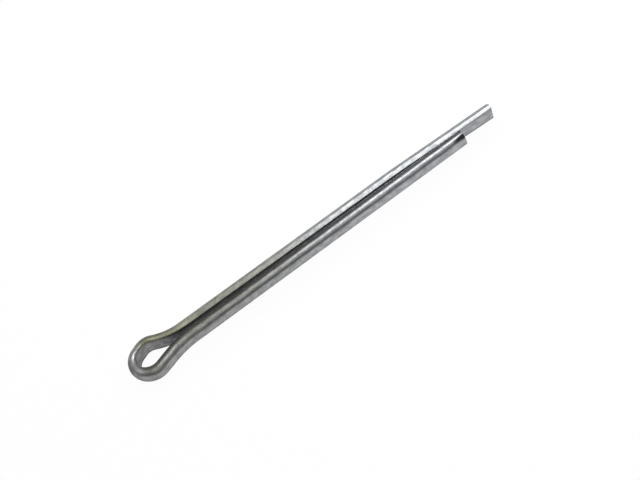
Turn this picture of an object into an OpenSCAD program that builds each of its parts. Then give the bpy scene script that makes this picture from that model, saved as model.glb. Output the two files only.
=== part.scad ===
// Cotter pin: one length of half-round steel wire folded on itself, flat face to flat face.
// The fold is left open as a teardrop eye, and the two legs run on side by side as a split shank
// with one leg longer than the other. The pin lies flat. X runs along the shank from the eye to
// the tips, Y across the legs in the plane of the eye, and Z is up. The origin is on the shank's
// axis, where the eye's throat ends. Lengths are in millimetres and angles in degrees.

/* [Wire] */
// Radius of the wire's crown, which is half the diameter of the closed shank
wire_radius = 1.5; // [1.25:0.05:1.8]
// Rounding of the two long edges between the flat face and the crown
edge_radius = 0.2; // [0.1:0.05:0.3]

/* [Shank] */
// Gap between the two flat faces where the legs leave the eye
leg_gap = 0.78; // [0.6:0.01:0.95]
// Gap left between the legs at the end of the short leg
tip_gap = 0.08; // [0.05:0.01:0.2]
// From the origin to the end of the short leg
short_leg_length = 47.7; // [38:0.1:60]
// How far the long leg reaches beyond the short one
prong_extension = 5.3; // [2:0.1:9]
// How far before the end of the short leg the long leg bends inwards
kink_before_end = 12.4; // [8:0.1:15]
// How far the long leg turns inwards there
kink_angle = 1.5; // [0.8:0.1:1.8]
// Radius of that bend, on the flat face
kink_radius = 84; // [20:1:150]

/* [Eye] */
// Widest opening of the eye, between the flat faces
eye_inside_width = 3.56; // [3.2:0.01:4.4]
// Bend radius of the shoulder on the long leg's side, on the flat face
long_side_shoulder_radius = 1.65; // [1.2:0.05:2]
// Bend radius of the shoulder on the short leg's side, on the flat face
short_side_shoulder_radius = 2; // [1.2:0.05:2.4]
// Turn of the nose bend on the long leg's side, before its facet
long_side_nose_turn = 68; // [55:1:72]
// Turn of the nose bend on the short leg's side, before its facet
short_side_nose_turn = 63; // [55:1:72]
// Straight facet between nose and shoulder on the long leg's side
long_side_facet = 0.9; // [0.1:0.1:1.2]
// Straight facet between nose and shoulder on the short leg's side
short_side_facet = 0.1; // [0.1:0.1:1.2]
// Slope of the long leg's side down to the throat
long_side_slope = 26.5; // [20:0.5:28]
// Slope of the short leg's side down to the throat
short_side_slope = 17.5; // [15:0.5:22]
// Straight stretch of the slope on the long leg's side
long_side_slope_run = 0.3; // [0.1:0.1:0.8]
// Straight stretch of the slope on the short leg's side
short_side_slope_run = 1.9; // [0.5:0.1:2.2]

/* [Cut ends] */
// Slant of both cut ends, whose upper edge stands forward
cut_slant = 11; // [0.5:0.5:15]
// How far the crown is rolled back at the cut end of the long leg
rollover_length = 0.3; // [0.1:0.05:0.5]
// How far down from the crown that rollover reaches
rollover_height = 1; // [0.5:0.05:1.2]
// Length of the small flat pressed into the crown at the end of the short leg
pressed_flat_length = 1.5; // [0.8:0.1:3]
// Depth of that flat at the cut
pressed_flat_depth = 0.04; // [0.02:0.01:0.08]
// Where that flat lies around the crown, up from the plane of the pin
pressed_flat_turn = 50; // [30:1:60]

/* [Hidden] */
$fn = 64;
// The steps of the wire are joined in metres, where their shared end faces close up without a gap,
// and the finished pin is brought back to millimetres.
mm = 0.001;
// the edge roundings are centred this far above and below the middle of the flat face
edge_z = sqrt(wire_radius ^ 2 - 2 * wire_radius * edge_radius);
// the crown's arc ends where it meets the edge roundings
crown_half_turn = atan2(edge_z, edge_radius);
// sides of the full circle that each of those roundings is part of
edge_sides = 24;
// larger than the wire in every direction, for tools that cut right through it
cut_size = 4 * wire_radius;

// each nose bend is as wide as its facet and shoulder leave room for
function nose_radius(turn, facet, shoulder) =
    (eye_inside_width / 2 - facet * cos(turn) - shoulder * (1 - sin(turn))) / sin(turn);
// each throat bend brings its side from the foot of the slope in to the gap between the legs
function throat_radius(slope, slope_run, shoulder, lean) =
    (eye_inside_width / 2 - leg_gap / 2 - slope_run * sin(slope) - shoulder * (1 - cos(slope)))
    / (cos(lean) - cos(slope));
// length along X of one side of the eye, from the inside of the nose to the start of its leg
function eye_reach(turn, facet, shoulder, slope, slope_run, lean) =
    nose_radius(turn, facet, shoulder) * (1 - cos(turn)) + facet * sin(turn)
    + shoulder * (cos(turn) + sin(slope)) + slope_run * cos(slope)
    + throat_radius(slope, slope_run, shoulder, lean) * (sin(slope) - sin(lean));

// the long leg's bend carries it in by this much at the end of the short leg
kink_drop = kink_radius * (1 - cos(kink_angle))
    + (kink_before_end - kink_radius * sin(kink_angle)) * tan(kink_angle);
// the short leg leans in by the rest, to leave the tip gap
short_leg_lean = atan((leg_gap - tip_gap - kink_drop) / short_leg_length);

long_side_reach = eye_reach(long_side_nose_turn, long_side_facet, long_side_shoulder_radius,
                            long_side_slope, long_side_slope_run, 0);
short_side_reach = eye_reach(short_side_nose_turn, short_side_facet, short_side_shoulder_radius,
                             short_side_slope, short_side_slope_run, short_leg_lean);
// the inside of the nose; the long leg then starts at the origin
nose_x = -long_side_reach;
short_leg_start = nose_x + short_side_reach;

long_leg_before_kink = short_leg_length - kink_before_end;
long_leg_after_kink = (kink_before_end + prong_extension - kink_radius * sin(kink_angle))
    / cos(kink_angle);
short_leg_run = (short_leg_length - short_leg_start) / cos(short_leg_lean);

zinc_grey = [0.62, 0.63, 0.62];

// Section of the wire: the flat face on the Y axis and the crown towards +X
module wire_section() {
    intersection() {
        circle(r = wire_radius * mm);
        polygon(cut_size * mm * [
            [0, 0],
            [cos(crown_half_turn), -sin(crown_half_turn)],
            [1, -sin(crown_half_turn)],
            [1, sin(crown_half_turn)],
            [cos(crown_half_turn), sin(crown_half_turn)]
        ]);
    }
    translate([0, -edge_z] * mm) square([edge_radius, 2 * edge_z] * mm);
    for (side = [-1, 1])
        translate([edge_radius, side * edge_z] * mm) circle(r = edge_radius * mm, $fn = edge_sides);
}

// The wire is laid down in steps. Each step starts at its own origin and runs along +X, with the
// flat face on the XZ plane and the crown towards +Y, and its children start where it ends.
module straight(length) {
    rotate([90, 0, 90]) linear_extrude(length * mm) wire_section();
    translate([length * mm, 0, 0]) children();
}

// Bend with the flat face inside
module bend_in(radius, turn) {
    translate([0, -radius * mm, 0]) {
        rotate([0, 0, 90 - turn])
            rotate_extrude(angle = turn) translate([radius * mm, 0]) wire_section();
        rotate([0, 0, -turn]) translate([0, radius * mm, 0]) children();
    }
}

// Bend the other way, with the crown inside
module bend_out(radius, turn) {
    translate([0, radius * mm, 0]) {
        rotate([0, 0, -90])
            rotate_extrude(angle = turn)
                translate([radius * mm, 0]) mirror([1, 0]) wire_section();
        rotate([0, 0, turn]) translate([0, -radius * mm, 0]) children();
    }
}

// One side of the eye, from the middle of the nose to the start of its leg
module eye_side(turn, facet, shoulder, slope, slope_run, lean) {
    bend_in(nose_radius(turn, facet, shoulder), turn)
        straight(facet)
            bend_in(shoulder, 90 + slope - turn)
                straight(slope_run)
                    bend_out(throat_radius(slope, slope_run, shoulder, lean), slope - lean)
                        children();
}

// Everything past a plane across the wire, whose upper edge is tilted forward and which leans
// back towards the crown
module beyond(length, height, tilt, lean) {
    translate([length, height, 0] * mm) rotate([0, tilt, lean])
        translate([0, -cut_size / 2, -cut_size / 2] * mm) cube(cut_size * mm);
}

// Last stretch of the long leg, with its crown rolled back at the slanted cut
module long_leg_end(length) {
    difference() {
        straight(length + wire_radius);
        beyond(length, 0, cut_slant, 0);
        beyond(length, wire_radius - rollover_height, cut_slant,
               atan(rollover_length / rollover_height));
    }
}

// The short leg, with a small flat pressed into its crown at the slanted cut
module short_leg(length) {
    difference() {
        straight(length + wire_radius);
        beyond(length, 0, cut_slant, 0);
        rotate([pressed_flat_turn, 0, 0])
            beyond(length, wire_radius - pressed_flat_depth, 0,
                   90 - atan(pressed_flat_depth / pressed_flat_length));
    }
}

// The whole pin, laid from the middle of the nose towards both tips
module cotter_pin() {
    color(zinc_grey) translate([nose_x, 0, 0]) scale(1 / mm) {
        rotate([0, 0, 90])
            eye_side(long_side_nose_turn, long_side_facet, long_side_shoulder_radius,
                     long_side_slope, long_side_slope_run, 0)
                straight(long_leg_before_kink)
                    bend_in(kink_radius, kink_angle)
                        long_leg_end(long_leg_after_kink);
        mirror([0, 1, 0]) rotate([0, 0, 90])
            eye_side(short_side_nose_turn, short_side_facet, short_side_shoulder_radius,
                     short_side_slope, short_side_slope_run, short_leg_lean)
                short_leg(short_leg_run);
    }
}

cotter_pin();
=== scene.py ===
import math

import bpy
import numpy as np
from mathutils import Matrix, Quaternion, Vector


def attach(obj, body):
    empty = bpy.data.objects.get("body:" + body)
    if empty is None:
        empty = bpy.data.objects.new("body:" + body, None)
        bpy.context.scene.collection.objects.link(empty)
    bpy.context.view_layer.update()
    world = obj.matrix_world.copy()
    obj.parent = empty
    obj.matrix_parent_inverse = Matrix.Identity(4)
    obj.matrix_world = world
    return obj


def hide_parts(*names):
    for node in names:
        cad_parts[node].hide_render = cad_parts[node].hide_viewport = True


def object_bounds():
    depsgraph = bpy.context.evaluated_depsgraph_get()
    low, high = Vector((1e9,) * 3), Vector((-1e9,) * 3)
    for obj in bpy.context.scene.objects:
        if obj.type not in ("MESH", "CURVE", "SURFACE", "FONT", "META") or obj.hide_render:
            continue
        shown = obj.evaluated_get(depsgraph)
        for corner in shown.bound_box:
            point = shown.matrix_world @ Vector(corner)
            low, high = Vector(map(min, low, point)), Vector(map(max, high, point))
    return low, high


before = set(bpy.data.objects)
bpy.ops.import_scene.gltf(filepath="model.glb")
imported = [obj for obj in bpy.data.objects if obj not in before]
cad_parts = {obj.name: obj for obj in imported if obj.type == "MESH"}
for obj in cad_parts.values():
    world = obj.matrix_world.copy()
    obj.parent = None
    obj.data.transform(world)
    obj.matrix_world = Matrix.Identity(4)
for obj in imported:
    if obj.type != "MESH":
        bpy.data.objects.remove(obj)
cad_low, cad_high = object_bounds()

# Camera: a long lens looks down on the pin from the side of its short leg. It is rolled so that
# the shank climbs from the eye at the lower left to the tips at the upper right.
camera_azimuth, camera_elevation = math.radians(2.74), math.radians(60.2)
camera_roll = math.radians(-38.2)
camera_distance = 1.0
aim_offset = Vector((0.00105, -0.00041, 0))
view_centre = (cad_low + cad_high) / 2 + aim_offset
towards_camera = Vector((math.sin(camera_azimuth) * math.cos(camera_elevation),
                         -math.cos(camera_azimuth) * math.cos(camera_elevation),
                         math.sin(camera_elevation)))
camera = bpy.data.objects.new("camera", bpy.data.cameras.new("camera"))
camera.data.sensor_width = 36
camera.data.lens = 401.4
camera.location = view_centre + towards_camera * camera_distance
camera.rotation_mode = "QUATERNION"
camera.rotation_quaternion = (towards_camera.to_track_quat("Z", "Y")
                              @ Quaternion((0, 0, 1), camera_roll))
bpy.context.scene.collection.objects.link(camera)
bpy.context.scene.camera = camera
bpy.context.scene.view_settings.view_transform = "Standard"


# The pin: one length of half-round steel wire, drawn and zinc plated. It is folded round a
# mandrel so that its flat faces meet as a split shank, and the fold stays open as the eye.
wire_radius = 0.0015
leg_gap, tip_gap = 0.00078, 0.00008
short_leg_length, prong_extension = 0.0477, 0.0053
kink_before_end, kink_radius = 0.0124, 0.084
kink_angle = math.radians(1.5)
half_eye = 0.00356 / 2
long_side = dict(shoulder=0.00165, turn=math.radians(68), facet=0.0009,
                 slope=math.radians(26.5), slope_run=0.0003)
short_side = dict(shoulder=0.002, turn=math.radians(63), facet=0.0001,
                  slope=math.radians(17.5), slope_run=0.0019)


def eye_side(shoulder, turn, facet, slope, slope_run, lean):
    """One side of the eye, from the middle of the nose to its leg: nose bend, facet, shoulder
    bend, slope and throat bend. The nose is as wide as facet and shoulder leave room for, and the
    throat brings the slope in to half the gap. Gives each run's length, each run's turn with the
    flat face inside, and how far the side reaches along X."""
    nose = (half_eye - facet * math.cos(turn) - shoulder * (1 - math.sin(turn))) / math.sin(turn)
    throat = ((half_eye - leg_gap / 2 - slope_run * math.sin(slope)
               - shoulder * (1 - math.cos(slope))) / (math.cos(lean) - math.cos(slope)))
    over = math.pi / 2 + slope - turn
    length = [nose * turn, facet, shoulder * over, slope_run, throat * (slope - lean)]
    turned = [turn, 0, over, 0, lean - slope]
    reach = (nose * (1 - math.cos(turn)) + facet * math.sin(turn)
             + shoulder * (math.cos(turn) + math.sin(slope)) + slope_run * math.cos(slope)
             + throat * (math.sin(slope) - math.sin(lean)))
    return length, turned, reach


kink_drop = (kink_radius * (1 - math.cos(kink_angle))
             + (kink_before_end - kink_radius * math.sin(kink_angle)) * math.tan(kink_angle))
short_lean = math.atan((leg_gap - tip_gap - kink_drop) / short_leg_length)
long_length, long_turn, long_reach = eye_side(**long_side, lean=0)
short_length, short_turn, short_reach = eye_side(**short_side, lean=short_lean)
short_run = (short_leg_length + long_reach - short_reach) / math.cos(short_lean)
run_length = np.array([short_run, *short_length[::-1], *long_length,
                       short_leg_length - kink_before_end, kink_radius * kink_angle,
                       (kink_before_end + prong_extension - kink_radius * math.sin(kink_angle))
                       / math.cos(kink_angle)])
run_turn = np.array([0, *short_turn[::-1], *long_turn, 0, kink_angle, 0])
nose_station = short_run + sum(short_length)


def walk_wire(step=0.00001, ease=0.0004):
    """Walks the flat face's line from the short tip round the nose to the long tip in equal small
    steps. The heading falls evenly over each bend, is averaged over the ease length so that one
    bend runs into the next, and is summed into X and Y, set down with the nose in its place."""
    knot = np.concatenate([[0], np.cumsum(run_length)])
    knot_heading = math.pi + short_lean - np.concatenate([[0], np.cumsum(run_turn)])
    station = np.linspace(0, knot[-1], int(knot[-1] / step) + 1)
    heading = np.interp(station, knot, knot_heading)
    width = int(ease / step) // 2
    heading = np.convolve(np.pad(heading, width, mode="edge"),
                          np.full(2 * width + 1, 1 / (2 * width + 1)), mode="valid")
    pace = np.diff(station)
    x = np.concatenate([[0], np.cumsum(pace * (np.cos(heading[1:]) + np.cos(heading[:-1])) / 2)])
    y = np.concatenate([[0], np.cumsum(pace * (np.sin(heading[1:]) + np.sin(heading[:-1])) / 2)])
    x += -long_reach - np.interp(nose_station, station, x)
    y -= np.interp(nose_station, station, y)
    return station, heading, x, y


# The crown's arc stops short of the flat face by the start angle, and a narrow slope joins the two.
# The slope leans in by its own angle, and ease and corner round its two ends. It is hardly there on
# the eye and the short leg, widest on the long leg and narrower again at the long leg's tip.
plain_edge = dict(start=math.radians(2), slope=math.radians(45), ease=0.00002, corner=0.00002)
leg_edge = dict(start=math.radians(19.5), slope=math.radians(29), ease=0.00002, corner=0.00001)
tip_edge = dict(start=math.radians(10), slope=math.radians(29), ease=0.00002, corner=0.00001)


def wire_section(start, slope, ease, corner):
    """The half-round section as distances out from the flat face and up from the middle. It runs
    from the middle of the flat up to a small corner, up the slope, round the crown's arc and back
    along the lower edge, which mirrors the upper one."""
    rise = np.linspace(math.pi, math.pi / 2 + slope, 7)
    over = np.linspace(math.pi / 2 + slope, math.pi / 2 - start, 7)
    crown = np.linspace(math.pi / 2 - start, 0, 31)
    eased = wire_radius * math.sin(start) - ease * (math.sin(start) + math.sin(slope))
    sloped = (eased - corner * (1 - math.sin(slope))) / math.cos(slope)
    over_out = eased + ease * (np.cos(over) + math.sin(slope))
    over_up = wire_radius * math.cos(start) + ease * (np.sin(over) - math.cos(start))
    rise_out = corner * (1 + np.cos(rise))
    rise_up = over_up[0] - sloped * math.sin(slope) + corner * (np.sin(rise) - math.cos(slope))
    flat = np.linspace(0, rise_up[0], 5)[:-1]
    out = np.concatenate([flat * 0, rise_out, over_out, wire_radius * np.cos(crown[1:])])
    up = np.concatenate([flat, rise_up, over_up, wire_radius * np.sin(crown[1:])])
    return np.array([np.concatenate([out, out[-2:0:-1]]), np.concatenate([up, -up[-2:0:-1]])])


# Both ends are sheared off at a slant, upper edge forward. The shear rolls the long leg's crown
# back, and a small flat is pressed into the short leg's crown. The cut's rim is barely broken.
cut_slant = math.radians(11)
rollover_length, rollover_height = 0.00042, 0.001
rollover_curve = 1.5
pressed_length, pressed_depth, pressed_turn = 0.0015, 0.00004, math.radians(50)
# How far along the wire the pressed flat's painted shade reaches, in pressed lengths.
pressed_shade_reach = 1.8
rim_break = 0.00003
cap_shrink = np.array([1 - rim_break / wire_radius, 0.9, 0.75, 0.5, 0.25])
section_middle = wire_radius * 0.42
slide_length = 0.002

station, heading, line_x, line_y = walk_wire()
wire_length = station[-1]
plain_section, leg_section = wire_section(**plain_edge), wire_section(**leg_edge)
tip_section = wire_section(**tip_edge)
to_next = np.roll(leg_section, -1, axis=1) - leg_section
girth = np.concatenate([[0], np.cumsum(np.hypot(*to_next))])
slope_starts, slope_grows = nose_station + sum(long_length) - 0.003, 0.005
slope_narrows = 0.009


def smooth_share(share):
    """Holds a share between 0 and 1 and eases it off at both ends: three squares less two cubes."""
    share = np.clip(share, 0, 1)[:, None]
    return share ** 2 * (3 - 2 * share)


def sweep_wire(straight_step=0.0004, turn_step=math.radians(2), end_step=0.00012):
    """Carries the section along the line, and blends the plain, leg and tip sections into each
    other. Rings stand closer in the bends and near the ends. Near an end each point slides along
    the wire until the last ring lies in the slanted cut, and rings that shrink to the middle of
    the section close the cut. Gives the points, ring by ring, their places along the wire, how
    much painted shade each takes round the small pressed flat, and the number of rings that close a
    cut."""
    bend = np.abs(np.gradient(heading, station))
    to_end = np.minimum(station, wire_length - station)
    rings = np.cumsum(np.gradient(station) * (1 / straight_step + bend / turn_step
                                              + (to_end < slide_length) / end_step))
    ring = np.interp(np.linspace(rings[0], rings[-1], int(rings[-1])), rings, station)
    caps = len(cap_shrink)
    ring = np.concatenate([np.zeros(caps), ring, np.full(caps, wire_length)])
    shrink = np.concatenate([cap_shrink[::-1], np.ones(len(ring) - 2 * caps), cap_shrink])
    setback = np.zeros(len(ring))
    setback[[caps, -caps - 1]] = rim_break
    at_heading, x, y = (np.interp(ring, station, line)[:, None]
                        for line in (heading, line_x, line_y))
    on_leg = smooth_share((ring - slope_starts) / slope_grows)
    at_tip = smooth_share(1 - (wire_length - ring) / slope_narrows)
    out, up = (plain_section[:, None] + (leg_section - plain_section)[:, None] * on_leg
               + (tip_section - leg_section)[:, None] * at_tip)
    out = section_middle + (out - section_middle) * shrink[:, None]
    up = up * shrink[:, None]
    to_short, to_long = ring[:, None], wire_length - ring[:, None]
    reach = (out * math.cos(pressed_turn) + up * math.sin(pressed_turn) - wire_radius
             + pressed_depth * (1 - to_short / pressed_length))
    over = np.clip(reach, 0, None) * (to_short < pressed_length)
    # Painted shade round the small pressed flat, strongest where it is pressed deepest.
    pressed_shade = (np.clip(1 + reach / pressed_depth, 0, None)
              * np.clip(pressed_shade_reach - to_short / pressed_length, 0, 1))
    out = out - over * math.cos(pressed_turn)
    up = up - over * math.sin(pressed_turn)
    slant = up * math.tan(cut_slant)
    rolled = (out - wire_radius + rollover_height) / rollover_height
    rolled = rollover_length * np.clip(rolled, 0, None) ** rollover_curve
    near_short = np.clip(1 - to_short / slide_length, 0, 1) ** 2
    near_long = np.clip(1 - to_long / slide_length, 0, 1) ** 2
    slide = ((slant - rolled) * near_long - slant * near_short
             + np.where(to_short < to_long, 1, -1) * setback[:, None])
    points = np.stack([x - np.sin(at_heading) * out + np.cos(at_heading) * slide,
                       y + np.cos(at_heading) * out + np.sin(at_heading) * slide, up + 0 * x], -1)
    return points, ring[:, None] + slide, pressed_shade, caps


def wire_mesh(name):
    """Joins the swept rings into quads, closes each cut with a fan to its middle, and keeps the
    place along and round the wire, in millimetres, as the mesh's own UV map, and the pressed
    flat's painted shade as an attribute. The cuts' faces take the second material and are shaded
    flat."""
    points, along, pressed_shade, caps = sweep_wire()
    rows, columns = points.shape[:2]
    vertices = np.concatenate([points.reshape(-1, 3), points[:1].mean(1), points[-1:].mean(1)])
    row, column = np.meshgrid(np.arange(rows - 1), np.arange(columns), indexing="ij")
    after = (column + 1) % columns
    quads = np.stack([row * columns + column, (row + 1) * columns + column,
                      (row + 1) * columns + after, row * columns + after], -1).reshape(-1, 4)
    first, last = np.arange(columns), (rows - 1) * columns + np.arange(columns)
    fans = np.concatenate([
        np.stack([np.full(columns, rows * columns), first, np.roll(first, -1)], -1),
        np.stack([last, np.full(columns, rows * columns + 1), np.roll(last, -1)], -1)])
    mesh = bpy.data.meshes.new(name)
    mesh.from_pydata(vertices.tolist(), [], quads.tolist() + fans.tolist())
    u = np.stack([along[row, column], along[row + 1, column],
                  along[row + 1, after], along[row, after]], -1)
    v = np.stack([girth[column], girth[column], girth[column + 1], girth[column + 1]], -1)
    fan_uv = np.tile([[0, 0], [0.0001, 0], [0.0001, 0.0001]], (2 * columns, 1))
    uv = np.concatenate([np.stack([u, v], -1).reshape(-1, 2), fan_uv]) * 1000
    mesh.uv_layers.new(name="along_and_round").data.foreach_set("uv", uv.ravel())
    mark = mesh.attributes.new("pressed_shade", "FLOAT", "POINT")
    mark.data.foreach_set("value", np.append(pressed_shade.ravel(), [0, 0]).astype(np.float32))
    cut = np.concatenate([((row < caps) | (row > rows - 2 - caps)).ravel(),
                          np.ones(2 * columns, bool)])
    mesh.polygons.foreach_set("use_smooth", ~cut)
    mesh.polygons.foreach_set("material_index", cut.astype(np.int32))
    mesh.update()
    return mesh


def node(tree, kind, links=(), **settings):
    """Adds a shader node, sets its properties and inputs by name, and links its inputs."""
    made = tree.nodes.new(kind)
    for key, value in settings.items():
        if key in made.inputs:
            made.inputs[key].default_value = value
        else:
            setattr(made, key, value)
    for source, socket in links:
        tree.links.new(source, made.inputs[socket])
    return made


def spread(tree, source, low, high, to_low=0.0, to_high=1.0):
    """Maps a number from one span to another, easing off and stopping at both ends."""
    made = node(tree, "ShaderNodeMapRange", [(source, "Value")],
                interpolation_type="SMOOTHSTEP",
                **{"From Min": low, "From Max": high, "To Min": to_low, "To Max": to_high})
    return made.outputs[0]


def sums(tree, operation, first, second):
    """One sum on two numbers; the second may be a fixed one."""
    made = node(tree, "ShaderNodeMath", [(first, 0)], operation=operation)
    if isinstance(second, float):
        made.inputs[1].default_value = second
    else:
        tree.links.new(second, made.inputs[1])
    return made.outputs[0]


def blend(tree, factor, first, second, how="MIX"):
    """Mixes two colours by a factor; each may be a fixed one."""
    made = node(tree, "ShaderNodeMix", [(factor, "Factor")], data_type="RGBA", blend_type=how)
    for colour, socket in ((first, made.inputs[6]), (second, made.inputs[7])):
        if isinstance(colour, tuple):
            socket.default_value = (*colour, 1)
        else:
            tree.links.new(colour, socket)
    return made.outputs[2]


# The zinc's greys, and the painted light and shade and drawn marks that lie over them. A span is
# along X, or across along Y, in metres; one round the wire is in millimetres from the middle of the
# flat face.
nose_zinc, eye_zinc, tip_zinc = (0.3, 0.3, 0.302), (0.34, 0.342, 0.336), (0.427, 0.441, 0.456)
nose_to_eye, eye_to_tips = (-0.009, -0.002), (0.0, 0.04)
corner_along, corner_across, corner_tint = (-0.0092, -0.0084), (-0.0012, -0.0004), (0.52,) * 3
crown_edge, crown_top = (1.3, 1.6), (2.2, 2.7)
# Painted warm tint of the overhead light on the crown near the eye; on the short leg's side only
# its lit top has it.
warm_light_tint, warm_light_edge, warm_light_across = (1.01, 1.02, 0.76), (0.9, 1.2), (-0.002, 0.001)
warm_light_at_eye, warm_light_on_shank, faint_warm_light = (-0.003, 0.006), (0.008, 0.026), 0.45
nose_end, nose_skew = (-0.0082, -0.0062), 0.35
# Painted shade that dims the far soft box's reflection on the long leg's crown at the eye.
far_shoulder_shade_tint, far_shoulder_shade_end = (0.62, 0.62, 0.61), (-0.003, 0.001)
# Painted shade that dims the near soft box's reflection on top of the short leg's shoulder.
near_shoulder_shade_tint, near_shoulder_shade_from, near_shoulder_shade_to = (0.77, 0.78, 0.82), (-0.006, -0.004), (-0.002, 0.002)
drawn_tint, drawn_tones = (0.7, 0.7, 0.72), (0.6, 0.9)
# Painted shade on the flat faces in the slit and the eye, where little light reaches.
fold_shade_grey, fold_edge, fold_wider = (0.074, 0.067, 0.077), (1.65, 2.0), 0.6
fold_in_eye, fold_in_slit = (-0.0052, -0.0016), (-0.0015, 0.001)
fold_end, fold_end_earlier = (0.019, 0.043), 0.02
# A painted shadow line on the flat face just under its upper edge.
edge_shadow_tint, edge_shadow_inner, edge_shadow_outer = (0.65, 0.65, 0.6), (0.7, 1.0), (1.1, 1.25)
# Painted shade, standing in for a dark reflection, on the small pressed flat at the short leg's
# tip.
pressed_shade_grey, pressed_shade_span = (0.02, 0.02, 0.02), (0.2, 1.5)


def drawn_zinc(tree, at):
    """The plating's grey, which lightens along X in two spans. It is darker round the far
    corner of the nose, where two spans cross."""
    body = blend(tree, spread(tree, at["x"], *nose_to_eye), nose_zinc, eye_zinc)
    body = blend(tree, spread(tree, at["x"], *eye_to_tips), body, tip_zinc)
    corner = sums(tree, "MULTIPLY", spread(tree, at["x"], *corner_along, 1.0, 0.0),
                  spread(tree, at["y"], *corner_across))
    return blend(tree, corner, body, corner_tint, "MULTIPLY")


def painted_tint_shade_and_marks(tree, at, body):
    """A painted warm tint of the overhead light from behind the nose, strong at the eye, fainter
    along the shank and on the short leg's side, where only the lit top of the crown has it. Painted
    shade dims the soft boxes' reflections on the long leg's crown at the eye and on top of the
    short leg's shoulder. Last come uneven marks left by the drawing."""
    on_crown = spread(tree, at["from_middle"], *crown_edge)
    upper_crown = sums(tree, "MULTIPLY", on_crown,
                       spread(tree, at["from_middle"], *crown_top, 1.0, 0.0))
    skewed = sums(tree, "SUBTRACT", at["x"], sums(tree, "MULTIPLY", at["y"], nose_skew))
    past_nose = spread(tree, skewed, *nose_end)
    # Painted warm tint of the overhead light on the lit crown.
    warm_light = sums(tree, "MULTIPLY", spread(tree, at["x"], *warm_light_at_eye, 1.0, faint_warm_light),
                 spread(tree, at["x"], *warm_light_on_shank, 1.0, 0.0))
    warm_light = sums(tree, "MULTIPLY", warm_light, spread(tree, at["y"], *warm_light_across, faint_warm_light, 1.0))
    warm_light = sums(tree, "MULTIPLY", warm_light, sums(tree, "MAXIMUM", upper_crown, at["on_long_leg"]))
    warm_light = sums(tree, "MULTIPLY", warm_light, spread(tree, at["from_middle"], *warm_light_edge))
    body = blend(tree, sums(tree, "MULTIPLY", past_nose, warm_light), body, warm_light_tint, "MULTIPLY")
    # Painted shade over the long leg's crown at the eye, dimming the far soft box's reflection.
    far_shoulder_shade = sums(tree, "MULTIPLY", sums(tree, "MULTIPLY", past_nose, at["on_long_leg"]),
                 sums(tree, "MULTIPLY", on_crown, spread(tree, at["x"], *far_shoulder_shade_end, 1.0, 0.0)))
    body = blend(tree, far_shoulder_shade, body, far_shoulder_shade_tint, "MULTIPLY")
    # Painted shade on top of the short leg's shoulder, dimming the near soft box's reflection.
    on_shoulder = sums(tree, "MULTIPLY", spread(tree, at["x"], *near_shoulder_shade_from),
                       spread(tree, at["x"], *near_shoulder_shade_to, 1.0, 0.0))
    near_shoulder_shade = sums(tree, "MULTIPLY", sums(tree, "MULTIPLY", on_shoulder, upper_crown),
                sums(tree, "LESS_THAN", at["y"], 0.0))
    body = blend(tree, near_shoulder_shade, body, near_shoulder_shade_tint, "MULTIPLY")
    tones = sums(tree, "ADD", sums(tree, "MULTIPLY", at["mottle"], 0.5), at["lines"])
    return blend(tree, spread(tree, tones, *drawn_tones), body, drawn_tint, "MULTIPLY")


def paint_shade_in_fold(tree, at, body):
    """Painted shade on the flat faces where they face each other, stronger in the slit than in the
    eye, mottled, and gone towards the tips. A thin painted shadow runs under the edge, and painted
    shade is darkest on the small pressed flat."""
    widened = sums(tree, "MULTIPLY", at["on_long_leg"], fold_wider)
    on_flat = spread(tree, sums(tree, "ADD", at["from_middle"], widened), *fold_edge, 1.0, 0.0)
    inward = sums(tree, "MULTIPLY", spread(tree, at["x"], *fold_in_eye, 0.28, 0.88),
                  spread(tree, at["x"], *fold_in_slit, 1.0, 0.68))
    inward = sums(tree, "MULTIPLY", inward, spread(tree, at["mottle"], 0.35, 0.65, 0.75, 1.15))
    earlier = sums(tree, "MULTIPLY", at["on_long_leg"], fold_end_earlier)
    outward = spread(tree, sums(tree, "ADD", at["x"], earlier), *fold_end, 1.0, 0.0)
    # Painted shade in the fold between the legs.
    painted_fold_shade = sums(tree, "MULTIPLY", on_flat, sums(tree, "MULTIPLY", inward, outward))
    body = blend(tree, painted_fold_shade, body, fold_shade_grey)
    # Painted shadow line under the edge.
    painted_edge_shadow = sums(tree, "MULTIPLY", spread(tree, at["from_middle"], *edge_shadow_inner),
                      spread(tree, at["from_middle"], *edge_shadow_outer, 1.0, 0.0))
    body = blend(tree, painted_edge_shadow, body, edge_shadow_tint, "MULTIPLY")
    # Painted shade on the pressed flat.
    pressed_shade_mask = node(tree, "ShaderNodeAttribute", attribute_name="pressed_shade").outputs["Fac"]
    return blend(tree, spread(tree, pressed_shade_mask, *pressed_shade_span, 0.0, 0.95), body, pressed_shade_grey)


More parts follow.
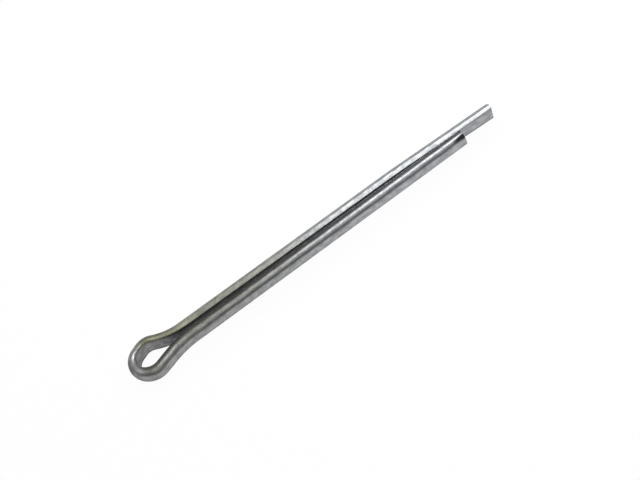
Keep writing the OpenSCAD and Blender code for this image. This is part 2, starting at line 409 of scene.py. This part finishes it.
def zinc_plating(name):
    """Bright zinc on drawn wire. Fine lines run along the wire, the tone is mottled, and the finish
    is a little rougher at the eye; the lines and small grains also lift the surface."""
    material = bpy.data.materials.new(name)
    material.use_nodes = True
    tree = material.node_tree
    shader = tree.nodes["Principled BSDF"]
    shader.inputs["Metallic"].default_value = 1
    shader.inputs["Specular Tint"].default_value = (0.57, 0.57, 0.57, 1)
    wire_place = node(tree, "ShaderNodeUVMap", uv_map="along_and_round").outputs["UV"]
    place = node(tree, "ShaderNodeTexCoord").outputs["Object"]
    stretched = node(tree, "ShaderNodeMapping", [(wire_place, "Vector")], Scale=(0.8, 2.2, 1))
    lines = node(tree, "ShaderNodeTexNoise", [(stretched.outputs[0], "Vector")],
                 Scale=1.0, Detail=2.0, Roughness=0.6).outputs["Fac"]
    mottle = node(tree, "ShaderNodeTexNoise", [(place, "Vector")],
                  Scale=1100.0, Detail=3.0, Roughness=0.6).outputs["Fac"]
    grains = node(tree, "ShaderNodeTexNoise", [(place, "Vector")],
                  Scale=3800.0, Detail=2.0).outputs["Fac"]
    x, y, _ = node(tree, "ShaderNodeSeparateXYZ", [(place, "Vector")]).outputs
    along, round_wire, _ = node(tree, "ShaderNodeSeparateXYZ", [(wire_place, "Vector")]).outputs
    at = dict(x=x, y=y, lines=lines, mottle=mottle,
              from_middle=sums(tree, "PINGPONG", round_wire, 500 * float(girth[-1])),
              on_long_leg=sums(tree, "GREATER_THAN", along, 1000 * nose_station))
    body = painted_tint_shade_and_marks(tree, at, drawn_zinc(tree, at))
    body = paint_shade_in_fold(tree, at, body)
    tree.links.new(body, shader.inputs["Base Color"])

    dull = sums(tree, "ADD", spread(tree, mottle, 0.3, 0.7, -0.03, 0.03),
                spread(tree, x, -0.004, 0.01, 0.29, 0.23))
    tree.links.new(dull, shader.inputs["Roughness"])
    line_bump = node(tree, "ShaderNodeBump", [(lines, "Height")], Strength=0.1, Distance=0.00002)
    grain_bump = node(tree, "ShaderNodeBump", [(grains, "Height"),
                                               (line_bump.outputs[0], "Normal")],
                      Strength=0.04, Distance=0.00003)
    tree.links.new(grain_bump.outputs[0], shader.inputs["Normal"])
    return material


def sheared_steel(name):
    """The cut faces: steel torn across, dull and grainy, thinly plated."""
    material = bpy.data.materials.new(name)
    material.use_nodes = True
    tree = material.node_tree
    shader = tree.nodes["Principled BSDF"]
    shader.inputs["Metallic"].default_value = 1
    place = node(tree, "ShaderNodeTexCoord").outputs["Object"]
    torn = node(tree, "ShaderNodeMapping", [(place, "Vector")], Scale=(2500, 5000, 1400))
    grain = node(tree, "ShaderNodeTexNoise", [(torn.outputs[0], "Vector")], Scale=1.0, Detail=4.0)
    tone = node(tree, "ShaderNodeValToRGB", [(grain.outputs["Fac"], "Fac")])
    tone.color_ramp.elements[0].position = 0.3
    tone.color_ramp.elements[0].color = (0.16, 0.16, 0.16, 1)
    tone.color_ramp.elements[1].position = 0.75
    tone.color_ramp.elements[1].color = (0.34, 0.34, 0.35, 1)
    tree.links.new(tone.outputs[0], shader.inputs["Base Color"])
    shader.inputs["Roughness"].default_value = 0.45
    bump = node(tree, "ShaderNodeBump", [(grain.outputs["Fac"], "Height")],
                Strength=0.6, Distance=0.00006)
    tree.links.new(bump.outputs[0], shader.inputs["Normal"])
    return material


pin = bpy.data.objects.new("folded_wire", wire_mesh("folded_wire"))
pin.data.materials.append(zinc_plating("zinc_plating"))
pin.data.materials.append(sheared_steel("sheared_steel"))
bpy.context.scene.collection.objects.link(pin)
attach(pin, "root")
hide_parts("cotter_pin")


# The floor: one wide sheet of matt white card that the pin lies on. It shows white to the camera
# and in the metal, and takes a trace of the pin's shadow.
floor_half = 6.0
floor_white = 0.96
corners = np.array([[-1, -1], [1, -1], [1, 1], [-1, 1]]) * floor_half
floor_mesh = bpy.data.meshes.new("floor")
floor_mesh.from_pydata([(x, y, cad_low.z) for x, y in corners.tolist()], [], [(0, 1, 2, 3)])
floor = bpy.data.objects.new("floor", floor_mesh)
card = bpy.data.materials.new("white_card")
card.use_nodes = True
card_tree = card.node_tree
card_tree.nodes.clear()
seen = node(card_tree, "ShaderNodeLightPath")
seen_or_mirrored = node(card_tree, "ShaderNodeMath", [(seen.outputs["Is Camera Ray"], 0),
                                                      (seen.outputs["Is Glossy Ray"], 1)],
                        operation="ADD")
seen_at_all = node(card_tree, "ShaderNodeMath", [(seen_or_mirrored.outputs[0], 0),
                                                 (seen.outputs["Is Transmission Ray"], 1)],
                   operation="ADD", use_clamp=True)
shown = node(card_tree, "ShaderNodeMath", [(seen_at_all.outputs[0], 0)], operation="MULTIPLY")
shown.inputs[1].default_value = floor_white
matt = node(card_tree, "ShaderNodeBsdfDiffuse", Color=(0.85, 0.85, 0.85, 1))
white = node(card_tree, "ShaderNodeEmission", Strength=1.0)
mixed = node(card_tree, "ShaderNodeMixShader", [(shown.outputs[0], 0), (matt.outputs[0], 1),
                                                (white.outputs[0], 2)])
node(card_tree, "ShaderNodeOutputMaterial", [(mixed.outputs[0], "Surface")])
floor.data.materials.append(card)
bpy.context.scene.collection.objects.link(floor)


# Studio light: one long soft box behind the pin and a narrower one over the camera, both nearer
# the tips than the eye, in a grey room. A small lamp beyond the eye adds one glint.
box_distance, box_length = 0.16, 0.3


def soft_box(name, angle, middle_x, width, radiance):
    """A rectangular lamp that faces the shank, placed at an angle from overhead towards the
    camera's side. Its power is the radiance times pi times its area."""
    lamp = bpy.data.lights.new(name, "AREA")
    lamp.shape = "RECTANGLE"
    lamp.size, lamp.size_y = box_length, width
    lamp.energy = radiance * math.pi * box_length * width
    box = bpy.data.objects.new(name, lamp)
    box.location = Vector((middle_x, -math.sin(angle) * box_distance,
                           math.cos(angle) * box_distance))
    box.rotation_euler = (angle, 0, 0)
    box.visible_camera = False
    bpy.context.scene.collection.objects.link(box)


soft_box("far_soft_box", math.radians(-49), middle_x=0.164, width=0.09, radiance=3.15)
soft_box("near_soft_box", math.radians(23), middle_x=0.1675, width=0.05, radiance=2.4)

# The glint falls on the far side of the nose.
glint_spot, glint_way = Vector((-0.0078, 0.0012, 0)), Vector((-0.29, 0.71, 0.643))
glint_distance, glint_size, glint_radiance = 0.3, 0.06, 13
glint_lamp = bpy.data.lights.new("glint_lamp", "AREA")
glint_lamp.shape = "DISK"
glint_lamp.size = glint_size
glint_lamp.energy = glint_radiance * math.pi * math.pi * (glint_size / 2) ** 2
glint = bpy.data.objects.new("glint_lamp", glint_lamp)
glint.location = glint_spot + glint_way * glint_distance
glint.rotation_euler = glint_way.to_track_quat("Z", "Y").to_euler()
glint.visible_camera = False
bpy.context.scene.collection.objects.link(glint)

# The room's walls are pale in front and behind and greyer at the sides. It is dark low down on
# the camera's side and dark overhead, and pale high up beyond the nose.
wall_greys = ((0.25, 0.83), (0.36, 0.69), (0.6, 0.69), (0.75, 0.85))
murk_grey, overhead_grey, pale_patch = (0.26,) * 3, (0.16,) * 3, (1.3,) * 3
world = bpy.data.worlds.new("grey_room")
world.use_nodes = True
room = world.node_tree
direction = node(room, "ShaderNodeTexCoord").outputs["Generated"]
_, back, upward = node(room, "ShaderNodeSeparateXYZ", [(direction, "Vector")]).outputs
walls = node(room, "ShaderNodeValToRGB", [(spread(room, back, -1.0, 1.0), "Fac")])
walls.color_ramp.elements[0].color = (0.82, 0.82, 0.8, 1)
walls.color_ramp.elements[1].color = (0.8, 0.8, 0.76, 1)
for position, grey in wall_greys:
    walls.color_ramp.elements.new(position).color = (grey, grey, grey * 0.97, 1)
low_down = sums(room, "MULTIPLY", spread(room, upward, 0.06, 0.24),
                spread(room, upward, 0.5, 0.72, 1.0, 0.0))
in_front = sums(room, "MULTIPLY", low_down, spread(room, back, -0.5, 0.2, 1.0, 0.0))
tone = blend(room, in_front, walls.outputs[0], murk_grey)
overhead = node(room, "ShaderNodeVectorMath", [(direction, 0)], operation="DOT_PRODUCT")
overhead.inputs[1].default_value = (0, 0.25, 0.968)
tone = blend(room, spread(room, overhead.outputs["Value"], 0.89, 0.945), tone, overhead_grey)
beyond_nose = node(room, "ShaderNodeVectorMath", [(direction, 0)], operation="DOT_PRODUCT")
beyond_nose.inputs[1].default_value = (-0.71, 0.085, 0.7)
tone = blend(room, spread(room, beyond_nose.outputs["Value"], 0.94, 0.985), tone, pale_patch)
room.links.new(tone, room.nodes["Background"].inputs["Color"])
bpy.context.scene.world = world
